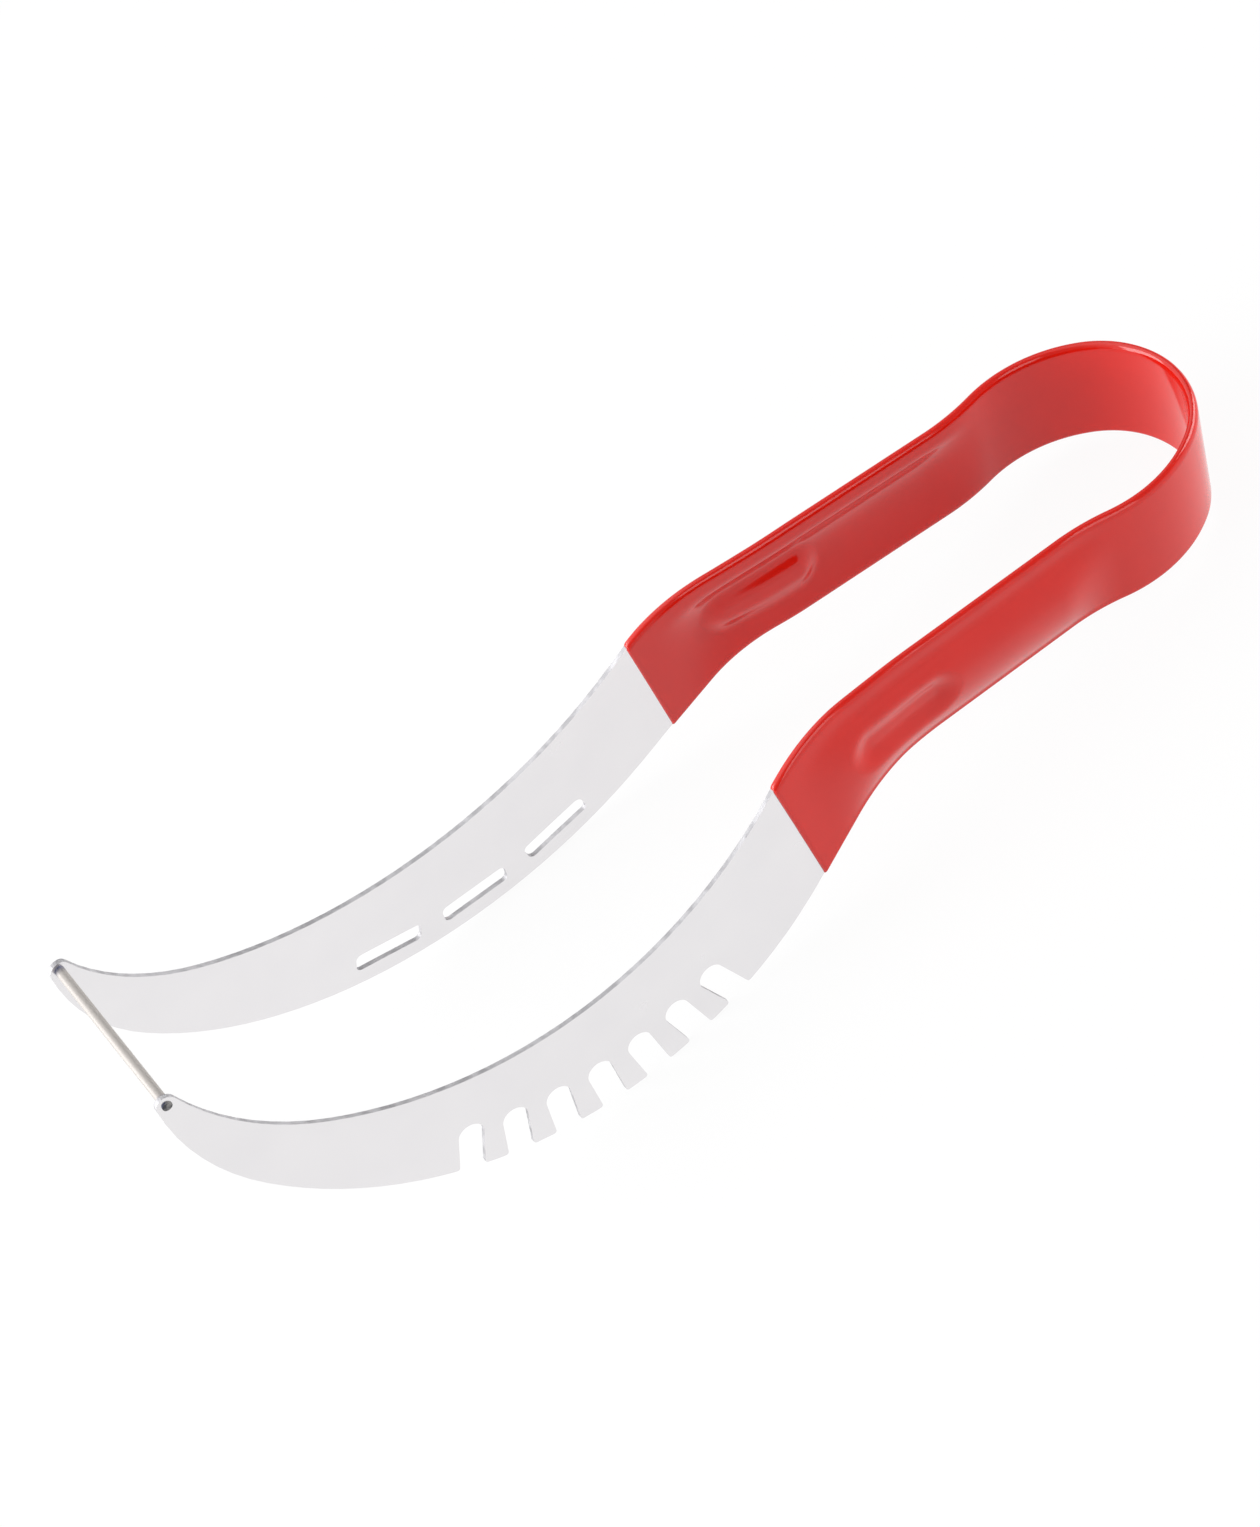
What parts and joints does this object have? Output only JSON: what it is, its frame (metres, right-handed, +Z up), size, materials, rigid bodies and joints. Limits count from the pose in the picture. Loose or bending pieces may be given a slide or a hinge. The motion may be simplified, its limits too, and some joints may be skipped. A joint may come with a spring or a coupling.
{
  "type": "watermelon slicer",
  "caption": "Looped watermelon slicer with dipped grip, curved twin blades joined by a cross rod at the tips, slots in one blade and notches in the other.",
  "frame": {"origin": "middle of the bounding box, at the height the slicer rests on", "axes": "+X from the blade tips to the loop end, +Y to the slotted blade, +Z up from the surface it rests on"},
  "size_m": [0.2258, 0.054, 0.077],
  "materials": {
    "stainless_sheet": "polished",
    "dipped_plastic": "gloss",
    "stainless_rod": "satin"
  },
  "bodies": {
    "root": {"blade_strip": "stainless_sheet", "grip_coating": "dipped_plastic", "cross_rod": "stainless_rod"}
  },
  "joints": []
}
